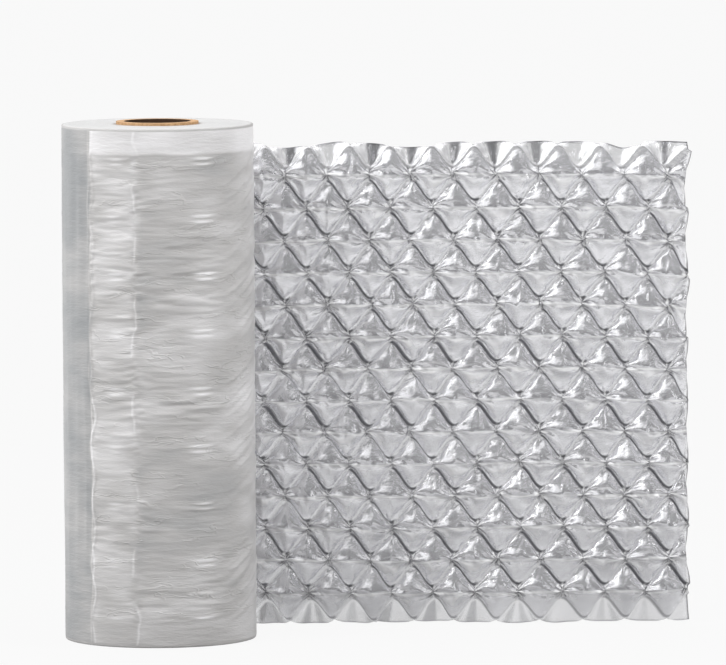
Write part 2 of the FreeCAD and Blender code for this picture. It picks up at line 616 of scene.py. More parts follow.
# Short folds across the seals: cos(2 pi * run / pitch + wander) * exp(-gap / reach).
def sealPuckers(at):
    wander = folds["puckerWander"] * foldNoise(at, "puckerWander")
    wave = np.cos(2 * np.pi * at.run / folds["puckerPitch"] + wander) * foldStrength(at, "pucker")
    fade = np.exp(-at.gap / folds["puckerReach"]) * smoothStep(*folds["puckerFrom"], at.gap)
    return folds["pucker"] * wave * fade


# The step at a cell's waist: exp(-height / reach) above it, and a bell below it.
def waistLip(at):
    above = np.exp(-np.abs(at.waist) / folds["lipReach"])
    step = np.where(at.waist > 0, above, bell(at.waist, folds["lipStep"]))
    return folds["lip"] * step * smoothStep(*folds["lipFrom"], at.between) * foldStrength(at, "lip")


# Creases that bow from neck to neck, each a bell about the curve waist = place * sqrt(between), and the
# painted shade along their upper sides.
def lensCreases(at):
    bow = np.sqrt(at.between)
    wander = folds["lensWander"] * foldNoise(at, "lensWander")
    strength = bow * smoothStep(*folds["lensFrom"], at.between) * foldStrength(at, "lens")
    strength *= smoothStep(*folds["lensGap"], at.gap)
    creases = np.zeros_like(at.gap)
    shade = np.zeros_like(at.gap)
    for place, share in folds["lenses"]:
        curve = at.waist - place * bow - wander
        creases += share * strength * bell(curve, folds["lensWidth"])
        shade += share * strength * bell(curve - folds["lensShadePlace"], folds["lensShadeWidth"])
    return creases, shade


# The height of all fine folds: those of a cell, or in the margins a fan of pleats, sin(pleat) *
# gap / reach, with weaker neck folds, and crinkle over everything.
def foldHeights(at, valley, ridge, creases):
    atNeck = neckFolds(at) - folds["valleyDepth"] * valley + folds["ridgeHeight"] * ridge
    shoulder = folds["shoulder"] * bell(at.gap - folds["shoulderPlace"], folds["shoulderWidth"])
    inner = atNeck + sealPuckers(at) + waistLip(at) + shoulder + folds["lens"] * creases
    fan = np.sin(at.pleat) * chosen(*folds["marginFan"], at.depth)
    fan *= np.clip(at.gap / folds["fanReach"], 0, folds["fanMost"])
    fine, broad = folds["crinkle"]
    crinkle = fine * foldNoise(at, "fineCrinkle") + broad * foldNoise(at, "broadCrinkle")
    return np.where(at.inMargin, fan + folds["marginNeckFolds"] * atNeck, inner) + crinkle


# How dark the nearest seal is drawn: a little for the weld itself, and painted shade by how steeply its
# line falls to the right, paler at the outermost.
def sealShade(at):
    falling = np.zeros_like(at.gap)
    for shift in folds["sealShifts"]:
        lines = sealLines(at.along[0] - shift)
        slope = np.take_along_axis(np.gradient(lines, at.along[0], axis=1), at.nearest, axis=0)
        falling = np.maximum(falling, smoothStep(*folds["sealFall"], -slope))
    falling = np.where(at.nearest == len(lines) - 1, folds["topSealShade"] * falling, falling)
    falling = np.where(at.nearest == 0, folds["lowSealShade"] * falling, falling)
    return bell(at.gap, folds["sealWidth"]) * chosen(*folds["sealShade"], falling)


# Rays about each neck: above 0 a painted highlight and below it painted shade, faded out by a bell.
def neckStar(at):
    twist = folds["starTwist"] * at.away + folds["starWander"] * foldNoise(at, "star")
    star = neckRays(at, folds["starRays"], twist) * chosen(*folds["starStrength"], at.depth)
    return star * bell(at.away, folds["starReach"]) * smoothStep(*folds["starFrom"], at.away)


# The fields that colour the film, each the strongest of its lines: how dark it is drawn, from the welds,
# the film's edges and painted shade, and how white it is drawn, as painted highlight.
def foldColours(at, valley, ridge, creases, lensShade):
    border = np.minimum(at.up.max() - at.up, at.along.max() - at.along)
    dark = np.maximum(sealShade(at), folds["borderShade"] * bell(border, folds["borderWidth"]))
    dark = np.maximum(dark, folds["footShade"] * bell(at.up, folds["footWidth"]))
    # In the margins, painted shade on one side of each pleat
    uneven = foldNoise(at, "pleats")
    darkUneven, whiteUneven = folds["pleatUneven"]
    clear = smoothStep(*folds["pleatGap"], at.gap)
    pleat = smoothStep(*folds["pleatDark"], np.cos(at.pleat) + darkUneven * uneven) * clear
    pleat *= np.clip(chosen(*folds["pleatPick"], at.depth), 0, 1)
    pleat *= np.where(at.lowMargin, folds["lowPleatShade"], folds["pleatShade"])
    dark = np.where(at.inMargin, np.maximum(dark, pleat), dark)
    # Painted shade in spots near each neck
    neckShadeSpots = smoothStep(*folds["neckSpotFrom"], foldNoise(at, "neckShadeSpots")) * bell(at.away, folds["neckSpotReach"])
    star = neckStar(at)
    # Painted shade above each cell's waist, fading upward
    above = folds["waistShade"] * np.exp(-at.waist / folds["waistReach"]) * (at.waist > 0)
    above *= smoothStep(*folds["waistFrom"], at.between)
    # Painted shade in the valleys, the neck spots, the dark side of the neck rays and along the lens
    # creases
    cellDark = np.maximum.reduce([folds["valleyShade"] * valley, folds["neckSpotShade"] * neckShadeSpots, above,
                                  folds["starShade"] * smoothStep(*folds["starEdge"], -star),
                                  folds["lensShade"] * lensShade])
    dark = np.maximum(dark, cellDark * ~at.inMargin)
    # A painted highlight just below each cell's waist
    waist = bell(at.waist - folds["waistHighlight"], folds["waistHighlightWidth"])
    waist *= smoothStep(*folds["waistHighlightFrom"], at.between) * foldStrength(at, "paintedHighlight")
    cellHighlight = np.maximum.reduce([waist, folds["lensHighlight"] * creases, folds["ridgeHighlight"] * ridge,
                                   smoothStep(*folds["starEdge"], star)])
    # Painted highlight on the other side of each pleat, in patches along the lower margin
    patches = np.where(at.lowMargin, smoothStep(*folds["lowPatches"], foldNoise(at, "lowPatches")), 1.0)
    pleatHighlight = smoothStep(*folds["pleatHighlight"], whiteUneven * uneven - np.cos(at.pleat)) * clear
    white = np.where(at.inMargin, folds["pleatHighlightShare"] * pleatHighlight * patches, cellHighlight)
    return dark, white


# Takes places along the web, up it and out of its front, in metres, to the frame, leant forward about
# the roll: x is along * cos + depth * sin, and y is depth * cos - along * sin.
def webToRoll(along, up, out):
    depth = rollRadius - (inflated["bedding"] + inflated["sheet"] / 2) * mm - out
    return np.stack([along * math.cos(leanAngle) + depth * math.sin(leanAngle),
                     depth * math.cos(leanAngle) - along * math.sin(leanAngle), up])


# The inflated film as one closed shell. The front is the blown ply with its folds, at z + half, and
# the back is its mirror image behind the cells, at -z - half, and runs with it elsewhere.
def buildInflated():
    plyPoints, plyBands = inflateFilm()
    bands = filmBands(inflated["finishRows"], inflated["finishMarginRows"], inflated["finishSealRows"],
                      inflated["finishCrowding"])
    flatAlong, flatUp = flatFilm(inflated["finishStep"], bands)
    rows, columns = flatAlong.shape
    filled, _ = filmZones(flatAlong, bands)
    x, y, z = refineFilm(straightenFilm(plyPoints, plyBands), plyBands, bands, columns).astype(float)
    blursUp, blursOn = inflated["cellBlurs"]
    z = np.where(filled, blurAlong(blurAlong(z, 0, blursUp, 1.0), 1, blursOn, 1.0), z)
    z = np.where(filled, z * (np.maximum(z, 0) / inflated["tentDepth"]) ** inflated["tent"], z)
    at = filmPlaces(flatAlong, flatUp, bands)
    valley, ridge = neckLines(at)
    creases, lensShade = lensCreases(at)
    inMargins = smoothStep(*inflated["marginFoldsFrom"], at.gap)
    gently = np.where(filled, smoothStep(*inflated["foldsFrom"], z), inMargins)
    z = z + gently * foldHeights(at, valley, ridge, creases)
    z = np.where(filled, np.maximum(z, 0), z)
    topMargin = np.clip(bands[:, None] - bands[-1] + 1, 0, 1)
    for place, deep, reach in inflated["edgeDips"]:
        y = y - deep / flatUp.max() * bell(flatAlong - place, reach) * topMargin
    outerFace = rollRadius - inflated["bedding"] * mm
    start = (webLow.x - outerFace * math.sin(leanAngle)) / math.cos(leanAngle)
    end = (webHigh.x - outerFace * math.sin(leanAngle)) / math.cos(leanAngle)
    along = start + x * (end - start)
    up = webLow.z + y * (webHigh.z - webLow.z)
    out = z * mm
    half = inflated["filmHalf"] * mm
    front = webToRoll(along, up, out + half)
    back = webToRoll(along, up, np.where(filled, -out, out) - half)
    points = np.hstack([front.reshape(3, -1), back.reshape(3, -1)]).T
    piece = meshFromQuads("inflated_film", points, shellQuads(rows, columns))
    dark, white = foldColours(at, valley, ridge, creases, lensShade)
    air = blurAlong(filled.astype(float), 0, inflated["airBlurs"], 1.0)
    crumple = bell(at.away, folds["crumpleReach"])
    # The dark field holds the welds' own darkening and painted shade, and the white field holds painted
    # highlights
    fields = {"sealsAndPaintedShade": dark, "crumple": crumple, "paintedHighlight": white, "airBetween": air}
    for name, values in fields.items():
        pointAttribute(piece, name, np.tile(values.ravel(), 2))
    return piece, (front[:, :, 0] + back[:, :, 0]).T / 2


inflatedFilm, filmStart = buildInflated()
inflatedFilm.data.materials.append(bpy.data.materials.new("clearFilm"))
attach(inflatedFilm, "root")
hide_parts("inflated_length")
report("inflated film placed")


# Sizes are in millimetres, and angles in degrees round from the roll's near side. A noise has its
# length round the roll, its height, and what is added to the seed, after its strength if it has one.
# A noise that is 400 long is the same all round.
wound = {
    "around": 220,
    "upward": 410,
    "endRows": 12,
    "edgeRound": 2.5,
    "edgeRows": 5,
    "frontAngle": -92.3,  # the roll's near side, about its axis
    "crowding": 2.4,  # extra columns near the two ridges, and how far round they reach
    "crowdReach": 4.5,
    "seed": 11,
    # Level wrinkles, which climb on one side; folds are a noise's absolute value
    "wrinkle": 0.38,
    "levelWrinkles": ((0.45, 5, 0.9, 1), (0.45, 16, 4, 3)),
    "levelFolds": ((0.8, 9, 1.7, 2), (-0.8, 12, 2.4, 14)),
    "levelStrength": 0.75,
    "climbing": ((34, 50), (130, 150)),
    "climb": 0.45,
    "climbWrinkles": ((0.5, 9, 1.1, 4),),
    "climbFolds": ((0.9, 15, 1.9, 5), (-0.8, 11, 2.4, 15)),
    "patches": (0.9, 0.3, 0.4, 1.6),  # even part, share of the noise, least and most
    "patchNoise": (24, 12, 7),
    # The smooth strip, and the calm bands at the two ends
    "strip": ((-138, -118), (-47, -45)),
    "stripCalm": 0.85,
    "stripWaves": (0.9, 2.5, 30, 6),
    "topBand": 17.5,
    "lowBand": 21.0,
    "topBlend": (-2, 3),
    "lowBlend": (-3, 3),
    "bandShare": 0.1,  # of the wrinkles that is left in the bands
    "bandEdge": 0.25,
    "bandEdgeWidth": 0.9,
    # Upright ridges: place, shift, swing in step with the creases, and wander
    "uprights": {
        "ridge": (-46, 0, 3.2, ((0.8, 400, 7, 8),)),
        "twin": (-46, -0.5, 0, ((1.2, 400, 9, 18),)),
        "second": (-15, 0, -1.5, ((1.4, 400, 12, 12), (1.2, 400, 4, 22))),
    },
    "ridgeHeight": 0.5,
    "ridgeWidth": 1.3,
    "secondHeight": 0.3,
    "secondWidth": 1.5,
    "breaks": (-0.6, 0.6),  # the second ridge comes and goes with a noise
    "breakNoise": (400, 9, 13),
    # Short level creases in pairs, in groups: place, strength, reach and wander
    "creasePitch": 44.3,
    "creaseDepth": 0.8,
    "creaseGroups": ((26, 1.0, 8, (1.5, 400, 20, 9)), (-28, 0.45, 6, (1.5, 400, 20, 10)),
                     (150, 0.7, 9, (1.5, 400, 20, 11))),
    "creasePair": ((0, 1.0), (4.2, 0.8)),  # how far below the first one each is, and its strength
    "creaseWidth": 0.9,
    "creaseBow": 0.006,
    "endRipple": (0.22, 0.9, 14),  # the top's depth, and blur in grid steps
    "endSeed": 31,
    # How milky each part is drawn: the strip's greyer film and the random waves are the film's own, while
    # the ridges, the creases and the band between carry painted highlights, the top band painted light, and
    # the two sides painted shade and painted light
    "hazeAndPaintedLight": {"strip": -0.75, "ridge": 1.1, "twin": 0.8, "second": 0.8, "creases": 2.6, "between": 0.45,
             "topBand": 1.3, "lowBand": 0.1, "paintedShadeSide": -0.4, "paintedLightSide": 0.35},
    "hazeWaves": ((0.16, 7, 3, 16), (0.2, 18, 12, 17)),
    # Widths of the painted highlights along the ridges
    "ridgeHaze": 0.9,  # widths
    "twinHaze": 0.8,
    "secondHaze": 0.9,
    # How strong the painted highlight along the ridge is, by chance
    "uneven": (0.7, 0.5, 0.1, 1.3),  # the ridge's: even part, share of the noise, least and most
    "unevenNoise": (400, 18, 19),
    # Painted shade towards the roll's left side and painted light towards its right side
    "paintedShadeSide": ((-125, -105), (-72, -50)),
    "paintedLightSide": ((42, 62), (105, 135)),
    "betweenFrom": (0, 3),  # past the ridge
    "betweenTo": (-6, 6),  # about the second ridge
}


# Noise over the roll's outer turn, of a length round and a height in millimetres.
def rollNoise(at, long, tall, number):
    rows, columns = len(at.level), at.arc.size
    return smoothNoise(rows, columns, tall / at.stepUp, long / at.stepRound, wound["seed"] + number)


# The sum of strength * noise, or with np.abs of strength * |noise|, which folds sharply where it is 0.
def rollWaves(at, parts, shape=np.positive):
    return sum(strength * shape(rollNoise(at, *noise)) for strength, *noise in parts)


# The distance round from an upright line: place + shift + swing * cos(pi * level / pitch)^2 + wander.
def fromUpright(at, name):
    place, shift, swing, wander = wound["uprights"][name]
    return at.arc - (math.radians(place) * at.radius + shift + swing * at.swing + rollWaves(at, wander))


# Short level creases in pairs, from 0 to 1: bells about the curve near = bow * along^2 in each row of
# the pitch, within reach of each group's place.
def rollCreases(at):
    creases = np.zeros((len(at.level), at.arc.size))
    for place, share, reach, wander in wound["creaseGroups"]:
        along = at.arc - math.radians(place) * at.radius + rollWaves(at, (wander,))
        for offset, depth in wound["creasePair"]:
            near = (at.level + offset) % wound["creasePitch"] - wound["creasePitch"] / 2
            near = near - wound["creaseBow"] * along**2
            creases += share * depth * at.calm * bell(near, wound["creaseWidth"]) * bell(along, reach)
    return creases


# What lies about each point of the outer turn, over its angle (columns) and its height (rows). Turn
# and arc run round from the near side, in degrees and in length, and level runs up. Strip, climbing
# and calm are 1 where the film is smooth, where its wrinkles climb, and between the two end bands.
def rollPlaces(angles, levels):
    at = SimpleNamespace(level=levels[:, None], radius=rollRadius / mm, top=levels[-1] - wound["topBand"])
    at.turn = ((np.degrees(angles) - wound["frontAngle"] + 180) % 360 - 180)[None, :]
    at.arc = np.radians(at.turn) * at.radius
    at.stepRound = 2 * math.pi * at.radius / len(angles)
    at.stepUp = (levels[-1] - levels[0]) / (len(levels) - 1)
    at.strip = plateau(*wound["strip"], at.turn)
    at.climbing = plateau(*wound["climbing"], at.turn)
    lowEdge = wound["lowBand"] + np.array(wound["lowBlend"])
    at.calm = plateau(lowEdge, at.top + np.array(wound["topBlend"]), at.level)
    at.swing = np.cos(math.pi * at.level / wound["creasePitch"]) ** 2
    at.fromRidge, at.fromTwin, at.fromSecond = [fromUpright(at, name) for name in wound["uprights"]]
    at.broken = smoothStep(*wound["breaks"], rollNoise(at, *wound["breakNoise"]))
    at.creases = rollCreases(at)
    return at


# Long level wrinkles and folds. Where they climb, each column's rows are taken from climb * arc lower.
def rollWrinkles(at):
    rows = len(at.level)
    source = (np.arange(rows)[:, None] - np.round(wound["climb"] * at.arc / at.stepUp).astype(int)) % rows
    climbers = rollWaves(at, wound["climbWrinkles"]) + rollWaves(at, wound["climbFolds"], np.abs)
    climbers = np.take_along_axis(climbers, source, axis=0)
    body = rollWaves(at, wound["levelWrinkles"]) + rollWaves(at, wound["levelFolds"], np.abs)
    body = (body * (1 - at.climbing) + climbers * at.climbing) * (1 - wound["stripCalm"] * at.strip)
    body += at.strip * rollWaves(at, (wound["stripWaves"],))
    body *= strengthFrom(rollNoise(at, *wound["patchNoise"]), *wound["patches"])
    body *= chosen(wound["levelStrength"], 1, at.climbing)
    return wound["wrinkle"] * body * chosen(wound["bandShare"], 1, at.calm)


# How milky the outer turn is drawn, with its painted highlights, painted light and painted shade: a sum of
# its parts' fields, each times its weight.
def rollHazeAndPaintedLight(at):
    uneven = strengthFrom(rollNoise(at, *wound["unevenNoise"]), *wound["uneven"])
    past = smoothStep(*wound["betweenFrom"], at.fromRidge)
    before = 1 - smoothStep(*wound["betweenTo"], at.fromSecond)
    bands = (1 - at.calm) * (1 - at.strip)
    upper = at.level > at.level.mean()
    fields = {
        "strip": at.strip,
        # Painted highlights along the ridges and on the creases
        "ridge": uneven * bell(at.fromRidge, wound["ridgeHaze"]),
        "twin": bell(at.fromTwin, wound["twinHaze"]),
        "second": at.broken * bell(at.fromSecond, wound["secondHaze"]),
        "creases": at.creases,
        # Painted highlight over the band between the ridge and the second ridge
        "between": past * before * at.calm,
        # Painted light: the top band is drawn much lighter than the low band
        "topBand": bands * upper,
        "lowBand": bands * ~upper,
        # Painted shade on the left side and painted light on the right side
        "paintedShadeSide": plateau(*wound["paintedShadeSide"], at.turn),
        "paintedLightSide": plateau(*wound["paintedLightSide"], at.turn),
    }
    parts = sum(wound["hazeAndPaintedLight"][name] * field for name, field in fields.items())
    return rollWaves(at, wound["hazeWaves"]) + parts


# The roll's outer turn: how far it stands out, in millimetres at or below 0, how milky it is drawn with its
# painted light and shade, and where it has fine creases. Ridges and the top band's edge are bells over the
# wrinkles and creases.
def outerTurn(angles, levels):
    at = rollPlaces(angles, levels)
    height = rollWrinkles(at) + wound["creaseDepth"] * at.creases
    height += wound["ridgeHeight"] * at.calm * bell(at.fromRidge, wound["ridgeWidth"])
    height += wound["secondHeight"] * at.calm * bell(at.fromSecond, wound["secondWidth"]) * at.broken
    height += wound["bandEdge"] * bell(at.level - at.top, wound["bandEdgeWidth"])
    return height - height.max(), rollHazeAndPaintedLight(at), at.calm * (1 - at.strip)


# Angles round the roll, closer together near the two upright ridges: equal steps of the summed
# density 1 + crowding * bell.
def roundAngles():
    fine = np.linspace(0, 2 * math.pi, 4001)
    density = np.ones_like(fine)
    for place in [wound["uprights"][name][0] for name in ("ridge", "second")]:
        away = (np.degrees(fine) - wound["frontAngle"] - place + 180) % 360 - 180
        density += wound["crowding"] * bell(away, wound["crowdReach"])
    share = np.concatenate([[0], np.cumsum((density[1:] + density[:-1]) / 2)])
    even = np.linspace(0, share[-1], wound["around"], endpoint=False)
    return np.interp(even, share, fine)


# The wound film: a profile carried round the core's axis, ((radius + offset) * cos turn,
# (radius + offset) * sin turn, height). The profile runs out along the foot, round the edge, up the
# outer turn, round the other edge and in along the top, which is rippled, and closes at the core.
def buildWound():
    rounding = wound["edgeRound"] * mm
    edge = rollRadius - rounding
    turn = roundAngles()
    up = np.linspace(rounding, rollHeight - rounding, wound["upward"])
    quarter = np.linspace(0, math.pi / 2, wound["edgeRows"] + 1)
    inward = np.linspace(coreRadius, edge, wound["endRows"])[:-1]
    profileR = np.concatenate([inward, edge + rounding * np.sin(quarter[:-1]), np.full(len(up), rollRadius),
                               edge + rounding * np.cos(quarter[1:]), inward[::-1]])
    profileZ = np.concatenate([np.zeros(len(inward)), rounding - rounding * np.cos(quarter[:-1]), up,
                               rollHeight - rounding + rounding * np.sin(quarter[1:]),
                               np.full(len(inward), rollHeight)])
    height, hazeAndPaintedLight, creased = outerTurn(turn, up / mm)
    height = height * mm
    fade = np.linspace(0, 1, wound["edgeRows"] + 1)[1:, None]
    level = np.zeros((len(inward), len(turn)))
    offset = np.vstack([level, height[:1] * fade, height, height[-1:] * fade[::-1], level])
    spread = profileR[:, None] + offset
    rows = len(profileR)
    points = np.stack([spread * np.cos(turn), spread * np.sin(turn),
                       np.broadcast_to(profileZ[:, None], spread.shape)])
    deep, blurIn, blurRound = wound["endRipple"]
    ripple = np.abs(smoothNoise(rows, len(turn), blurIn, blurRound, wound["endSeed"])) * deep * mm
    onTop = slice(rows - len(inward) + 1, rows - 1)
    points[2, onTop] -= ripple[onTop]
    quads = gridQuads(rows, len(turn), wrapped=True)
    piece = meshFromQuads("film_roll", points.reshape(3, -1).T, quads)
    aside = len(inward) + wound["edgeRows"]
    for name, values in {"hazeAndPaintedLight": hazeAndPaintedLight, "creased": creased}.items():
        pointAttribute(piece, name, np.pad(values, ((aside, aside), (0, 0))))
    faceRow = np.arange(len(quads)) // len(turn)
    onEnd = (faceRow < len(inward)) | (faceRow >= rows - len(inward) - 1)
    return piece, onEnd


woundFilm, onEnd = buildWound()
woundFilm.data.materials.append(bpy.data.materials.new("milkyFilm"))
woundFilm.data.materials.append(bpy.data.materials.new("filmEdges"))
woundFilm.data.polygons.foreach_set("material_index", onEnd.astype(np.int32))
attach(woundFilm, "root")
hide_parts("wound_film")
report("wound film placed")


lead = {
    "columns": 22,
    "half": 0.3,  # half its thickness, in millimetres
    "rootDepth": 3.1,  # how far under the roll's outermost surface its root lies
    "rootInset": 3,  # from the roll's two ends
    "sag": (0.45, 5, 9),  # depth, and blur in grid steps up and along
    "seed": 31,
}


# The flat lead from the roll's back tangent to the perforation, where it takes up the inflated film's
# own edge: a thin closed shell of lines from root to edge, root * (1 - part) + edge * part, with a
# shallow random sag * sin(pi * part).
def buildLead():
    rows, columns = len(filmStart), lead["columns"]
    away = np.array([math.sin(leanAngle), math.cos(leanAngle), 0])
    part = np.linspace(0, 1, columns)[None, :, None]
    share = (filmStart[:, 2] - filmStart[:, 2].min()) / np.ptp(filmStart[:, 2])
    inset = lead["rootInset"]
    root = np.repeat(away[None, :] * (rollRadius - lead["rootDepth"] * mm), rows, axis=0)
    root[:, 2] = (inset + share * (rollHeight / mm - 2 * inset)) * mm
    points = root[:, None, :] * (1 - part) + filmStart[:, None, :] * part
    deep, blurUp, blurOn = lead["sag"]
    sag = smoothNoise(rows, columns, blurUp, blurOn, lead["seed"]) * deep * mm
    sag *= np.sin(np.pi * part[:, :, 0])
    points = points + away * sag[..., None]
    half = away * lead["half"] * mm
    both = np.concatenate([(points - half).reshape(-1, 3), (points + half).reshape(-1, 3)])
    return meshFromQuads("film_lead", both, shellQuads(rows, columns))


filmLead = buildLead()
filmLead.data.materials.append(bpy.data.materials["milkyFilm"])
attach(filmLead, "root")
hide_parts("wound_film")
report("film lead placed")


# A node tree in the making. Sockets go by name or number, and take a value or another node's output.
class Nodes:
    def __init__(self, owner, shader="Principled BSDF"):
        owner.use_nodes = True
        self.tree = owner.node_tree
        self.shader = self.tree.nodes[shader]

    def fill(self, node, sockets):
        for name, value in sockets.items():
            if hasattr(value, "links"):
                self.tree.links.new(value, node.inputs[name])
            else:
                node.inputs[name].default_value = value

    def add(self, kind, sockets, **settings):
        node = self.tree.nodes.new(kind)
        for name, value in settings.items():
            setattr(node, name, value)
        self.fill(node, sockets)
        return node.outputs

    def place(self):
        return self.add("ShaderNodeTexCoord", {})["Object"]

    def stretched(self, scale):
        return self.add("ShaderNodeMapping", {"Vector": self.place(), "Scale": scale})[0]

    def attribute(self, name):
        return self.add("ShaderNodeAttribute", {}, attribute_name=name)["Fac"]

    def math(self, operation, *values, **settings):
        return self.add("ShaderNodeMath", dict(enumerate(values)), operation=operation, **settings)[0]

    def vector(self, operation, *values):
        return self.add("ShaderNodeVectorMath", dict(enumerate(values)), operation=operation)

    # least + (most - least) * (value - low) / (high - low), held between least and most
    def mapped(self, value, low=0.0, high=1.0, least=0.0, most=1.0):
        return self.add("ShaderNodeMapRange", {0: value, 1: low, 2: high, 3: least, 4: most})[0]

    def noise(self, place, scale, detail, roughness=0.5, distortion=0.0):
        return self.add("ShaderNodeTexNoise", {"Vector": place, "Scale": scale, "Detail": detail,
                                               "Roughness": roughness, "Distortion": distortion})["Fac"]

    def bump(self, height, strength, distance, **under):
        sockets = {"Height": height, "Strength": strength, "Distance": distance, **under}
        return self.add("ShaderNodeBump", sockets)[0]

    # Colours at places from 0 to 1, straight between them
    def ramp(self, value, *colours):
        outputs = self.add("ShaderNodeValToRGB", {0: value})
        elements = outputs[0].node.color_ramp.elements
        for _ in colours[2:]:
            elements.new(0.5)
        for element, (position, colour) in zip(elements, colours):
            element.position = position
            element.color = (*colour, 1)
        return outputs[0]

    def mixed(self, share, first, second):
        return self.add("ShaderNodeMix", {0: share, 6: first, 7: second}, data_type="RGBA")[2]


clearFilm = {
    "film": (0.95, 0.95, 0.985),
    # The dark colour of the seals and of painted shade
    "seal": (0.05, 0.05, 0.07),
    "sealFrom": 0.8,  # how dark a line has to be for the full dark colour of seals and painted shade
    # White for painted highlights, drawn more opaque and less metallic so it stays white
    "paintedHighlight": (0.97, 0.97, 0.98, 1),
    "cover": (0.36, 0.74),  # how opaque the film is when flat, and over air
    "paintedHighlightCover": 0.95,
    "metallic": (0.75, 0.25),  # plain, and on a painted highlight
    "crinkle": (380.0, 4.0, 0.6),  # scale, detail and roughness of the noise
    "crinkleBump": (0.6, 0.0008),  # strength, and distance in metres
    "knots": (260.0, 2.0),
    "knotBump": (0.8, 0.005),
    "shine": {"Roughness": 0.14, "IOR": 1.9, "Coat Weight": 0.8, "Coat Roughness": 0.05, "Coat IOR": 1.8},
}


# Clear film: its colour and cover go from plain film to a dark line by the field of seals and painted
# shade, and then to white by the painted highlight field.
def dressClearFilm():
    kit = Nodes(bpy.data.materials["clearFilm"])
    crinkle = kit.bump(kit.noise(kit.place(), *clearFilm["crinkle"]), *clearFilm["crinkleBump"])
    knots = kit.math("MULTIPLY", kit.noise(kit.place(), *clearFilm["knots"]), kit.attribute("crumple"))
    bump = kit.bump(knots, *clearFilm["knotBump"], Normal=crinkle)
    sealsAndPaintedShade = kit.attribute("sealsAndPaintedShade")
    paintedHighlight = kit.attribute("paintedHighlight")
    cover = kit.mapped(kit.attribute("airBetween"), 0.0, 1.0, *clearFilm["cover"])
    cover = kit.mapped(sealsAndPaintedShade, least=cover)
    cover = kit.mapped(paintedHighlight, least=cover, most=clearFilm["paintedHighlightCover"])
    colour = kit.ramp(sealsAndPaintedShade, (0.0, clearFilm["film"]), (clearFilm["sealFrom"], clearFilm["seal"]))
    kit.fill(kit.shader, {"Base Color": kit.mixed(paintedHighlight, colour, clearFilm["paintedHighlight"]), "Alpha": cover,
                          "Metallic": kit.mapped(paintedHighlight, 0.0, 1.0, *clearFilm["metallic"]),
                          "Normal": bump, **clearFilm["shine"]})


milkyFilm = {
    "hazeAndPaintedLight": (-1.5, 1.5),  # the least and most of the milkiness with its painted light
    "colours": ((0.0, (0.345, 0.355, 0.365)), (0.5, (0.55, 0.54, 0.535)), (1.0, (0.88, 0.87, 0.88))),
    "stretch": (1.0, 1.0, 5.0),  # how much finer the noise is upward
    "broad": (70.0, 3.0, 0.6),
    "broadBump": (0.35, 0.0016),
    "fine": (190.0, 3.0),
    "fineBump": (0.2, 0.0008),
    "waves": (34.0, 2.0, 0.5, 0.6),
    "creaseWidth": 0.045,  # creases run where the waves cross their middle
    "patches": (16.0, 1.0),
    "patchEdge": (0.5, 0.62),
    "creaseBump": (0.4, 0.0012),
    "shine": {"Roughness": 0.38, "Specular IOR Level": 0.35, "Coat Weight": 0.25, "Coat Roughness": 0.12},
}


# Milky film: a ramp of greys by the field of milkiness and painted light, level crinkle, and sharp creases
# in patches, at 1 - |waves - 0.5| / width.
def dressMilkyFilm():
    kit = Nodes(bpy.data.materials["milkyFilm"])
    level = kit.stretched(milkyFilm["stretch"])
    colour = kit.ramp(kit.mapped(kit.attribute("hazeAndPaintedLight"), *milkyFilm["hazeAndPaintedLight"]), *milkyFilm["colours"])
    offLine = kit.math("ABSOLUTE", kit.math("SUBTRACT", kit.noise(level, *milkyFilm["waves"]), 0.5))
    creases = kit.mapped(offLine, 0.0, milkyFilm["creaseWidth"], 1.0, 0.0)
    patches = kit.mapped(kit.noise(level, *milkyFilm["patches"]), *milkyFilm["patchEdge"])
    creases = kit.math("MULTIPLY", kit.math("MULTIPLY", creases, patches), kit.attribute("creased"))
    bump = kit.bump(kit.noise(level, *milkyFilm["broad"]), *milkyFilm["broadBump"])
    bump = kit.bump(kit.noise(level, *milkyFilm["fine"]), *milkyFilm["fineBump"], Normal=bump)
    bump = kit.bump(creases, *milkyFilm["creaseBump"], Normal=bump)
    kit.fill(kit.shader, {"Base Color": colour, "Normal": bump, **milkyFilm["shine"]})


filmEdges = {
    "turns": (1400.0, 3.0, 0.7),
    "turnRange": (0.35, 0.65),
    "greys": (0.5, 0.65),
    "bump": (0.5, 0.0005),
    "shine": {"Roughness": 0.45},
}


# The turns' edges on the roll's two ends: rings of grey, as noise over the distance from the axis.
def dressFilmEdges():
    kit = Nodes(bpy.data.materials["filmEdges"])
    radius = kit.vector("LENGTH", kit.stretched((1.0, 1.0, 0.0)))["Value"]
    turns = kit.noise(kit.add("ShaderNodeCombineXYZ", {"X": radius})[0], *filmEdges["turns"])
    grey = kit.mapped(turns, *filmEdges["turnRange"], *filmEdges["greys"])
    colour = kit.add("ShaderNodeCombineColor", {"Red": grey, "Green": grey, "Blue": grey})[0]
    bump = kit.bump(turns, *filmEdges["bump"])
    kit.fill(kit.shader, {"Base Color": colour, "Normal": bump, **filmEdges["shine"]})


core = {
    "wall": 6.6,  # millimetres
    "boreShadowEdge": (0.3, 0.9),  # how far past the bore's wall its painted shadow goes over to paper
    # Painted shadow: the near-black colour inside the bore
    "boreShadow": (0.06, 0.032, 0.018, 1),
    "colours": ((0.3, (0.42, 0.235, 0.11)), (0.7, (0.66, 0.43, 0.24))),
    "fibre": (420.0, 5.0, 0.65),
    "bump": (0.4, 0.0004),
    "shine": {"Roughness": 0.85},
}


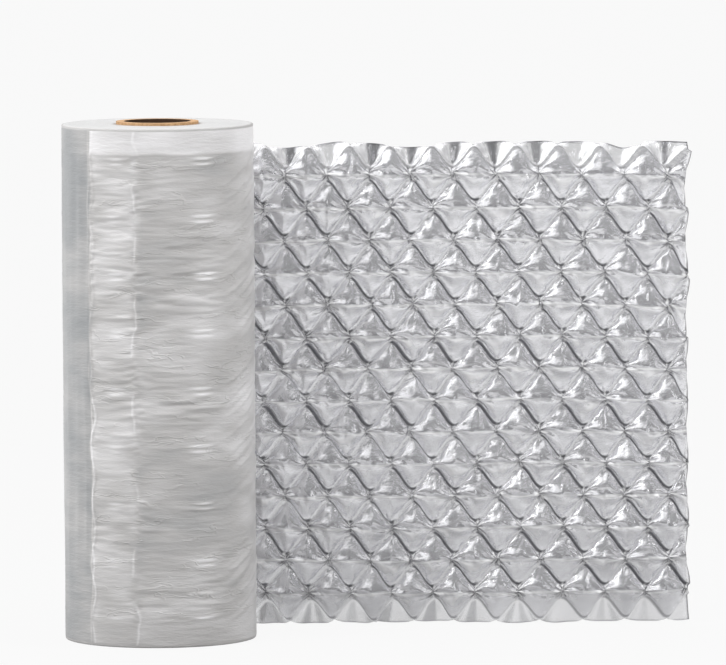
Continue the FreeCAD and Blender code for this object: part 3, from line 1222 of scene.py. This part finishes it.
# Core paper: brown fibres, with painted shadow inside the bore, where the distance from the axis is least.
def dressCorePaper(material):
    kit = Nodes(material)
    fibre = kit.noise(kit.place(), *core["fibre"])
    radius = kit.vector("LENGTH", kit.vector("MULTIPLY", kit.place(), (1, 1, 0))[0])["Value"]
    boreRadius = coreRadius - core["wall"] * mm
    outside = kit.mapped(radius, *[boreRadius + past * mm for past in core["boreShadowEdge"]])
    colour = kit.mixed(outside, core["boreShadow"], kit.ramp(fibre, *core["colours"]))
    kit.fill(kit.shader, {"Base Color": colour, "Normal": kit.bump(fibre, *core["bump"]), **core["shine"]})


dressClearFilm()
dressMilkyFilm()
dressFilmEdges()
paper = bpy.data.materials.new("corePaper")
dressCorePaper(paper)
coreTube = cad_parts["core_tube"]
coreTube.data.materials.clear()
coreTube.data.materials.append(paper)
report("materials ready")


studio = {
    "camera": (-0.3993, -6.748, 0.8138),
    "pitch": 4.881,
    "turn": 4.729,
    "roll": 0.31,
    "lens": 433.6,
    "farthest": 200,
    "floorReach": 60.0,
    "floorGlow": 0.92,  # what the camera sees of the floor, where 1 is white
    "floorGrey": (0.3, 0.3, 0.3, 1),
    "floorShine": {"Roughness": 0.9, "Specular IOR Level": 0.0},
    "shineReach": (-0.16, 0.52),  # the distance over which the floor goes white in the film's gloss
    "shineNoise": (12.0, 2.0),
    "shineFrom": (0.3, 0.7),
    "shineSpread": 0.25,
    "brightSide": (-0.38, 0.25, 0.89),
    "dusk": (0.14, 0.14, 0.14),
    "sky": (1.6, 1.6, 1.6),
    "duskTop": 0.2,
    "skyFrom": 0.88,
    # Each lamp's place and aim, its two sides, its power, and whether gloss mirrors it
    "lamps": {
        "key": ((-1.0, -0.9, 1.2), (0.1, 0, 0.25), (0.8, 0.8), 10.5, False),
        "side": ((1.6, -0.55, 1.1), (0.05, 0, 0.25), (0.8, 0.8), 17, False),
        "fill": ((0.2, -4.0, 1.6), (0.1, 0, 0.25), (1.6, 1.6), 4, False),
        "leftGlint": ((-1.3, -0.9, 1.35), (0.1, 0, 0.25), (0.5, 0.5), 3, True),
        "rightGlint": ((1.5, -1.35, 0.75), (0.05, 0, 0.3), (0.3, 0.6), 2, True),
    },
}


# A flat floor, white to the camera and through clear film. In gloss it is darkest under the object and
# whitens with the distance in front or behind, (distance - near) / (far - near), in uneven patches.
def buildFloor():
    size = studio["floorReach"]
    corners = [(-size, -size, 0), (size, -size, 0), (size, size, 0), (-size, size, 0)]
    mesh = bpy.data.meshes.new("floor")
    mesh.from_pydata(corners, [], [(0, 1, 2, 3)])
    floor = bpy.data.objects.new("floor", mesh)
    bpy.context.scene.collection.objects.link(floor)
    material = bpy.data.materials.new("floorWhite")
    mesh.materials.append(material)
    kit = Nodes(material)
    kit.fill(kit.shader, {"Base Color": studio["floorGrey"], **studio["floorShine"]})
    path = kit.add("ShaderNodeLightPath", {})
    seen = kit.math("MAXIMUM", path["Is Camera Ray"], path["Is Transmission Ray"])
    seen = kit.math("MULTIPLY", seen, studio["floorGlow"])
    away = kit.vector("LENGTH", kit.vector("MULTIPLY", kit.place(), (0, 1, 0))[0])["Value"]
    spread = studio["shineSpread"]
    patches = kit.noise(kit.place(), *studio["shineNoise"])
    patches = kit.mapped(patches, *studio["shineFrom"], -spread, spread)
    shine = kit.math("ADD", kit.mapped(away, *studio["shineReach"]), patches, use_clamp=True)
    shine = kit.math("MULTIPLY", path["Is Glossy Ray"], shine)
    glow = kit.add("ShaderNodeEmission", {})[0]
    share = kit.math("MAXIMUM", seen, shine)
    mix = kit.add("ShaderNodeMixShader", {0: share, 1: kit.shader.outputs[0], 2: glow})
    kit.fill(kit.tree.nodes["Material Output"], {"Surface": mix[0]})


# A flat lamp of two sides at a place, turned to face its aim.
def buildLamp(name, place, aim, sides, power, mirrored):
    data = bpy.data.lights.new(name, "AREA")
    data.shape = "RECTANGLE"
    data.size, data.size_y = sides
    data.energy = power
    lamp = bpy.data.objects.new(name, data)
    bpy.context.scene.collection.objects.link(lamp)
    lamp.location = place
    lamp.rotation_euler = (Vector(aim) - Vector(place)).to_track_quat("-Z", "Y").to_euler()
    lamp.visible_glossy = mirrored


# Surroundings that go from dusk to bright sky by the cosine of the angle to the bright side.
def buildWorld():
    world = bpy.data.worlds.new("studio")
    bpy.context.scene.world = world
    kit = Nodes(world, "Background")
    direction = kit.add("ShaderNodeTexCoord", {})["Generated"]
    toward = kit.vector("DOT_PRODUCT", direction, Vector(studio["brightSide"]).normalized())["Value"]
    sky = kit.ramp(toward, (studio["duskTop"], studio["dusk"]), (studio["skyFrom"], studio["sky"]))
    sky.node.color_ramp.interpolation = "EASE"
    kit.fill(kit.shader, {"Color": sky})


# The camera: turned about the upright by turn, tilted down by pitch, and rolled about its own view.
def buildCamera():
    data = bpy.data.cameras.new("camera")
    data.lens = studio["lens"]
    data.clip_end = studio["farthest"]
    camera = bpy.data.objects.new("camera", data)
    bpy.context.scene.collection.objects.link(camera)
    camera.location = studio["camera"]
    aim = Euler((math.radians(90 - studio["pitch"]), 0, math.radians(-studio["turn"])))
    twist = Euler((0, 0, math.radians(-studio["roll"])))
    camera.rotation_euler = (aim.to_matrix() @ twist.to_matrix()).to_euler()
    bpy.context.scene.camera = camera


buildFloor()
buildWorld()
buildCamera()
for name, settings in studio["lamps"].items():
    buildLamp(name, *settings)
bpy.context.scene.view_settings.view_transform = "Standard"

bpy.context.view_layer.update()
report("finished")
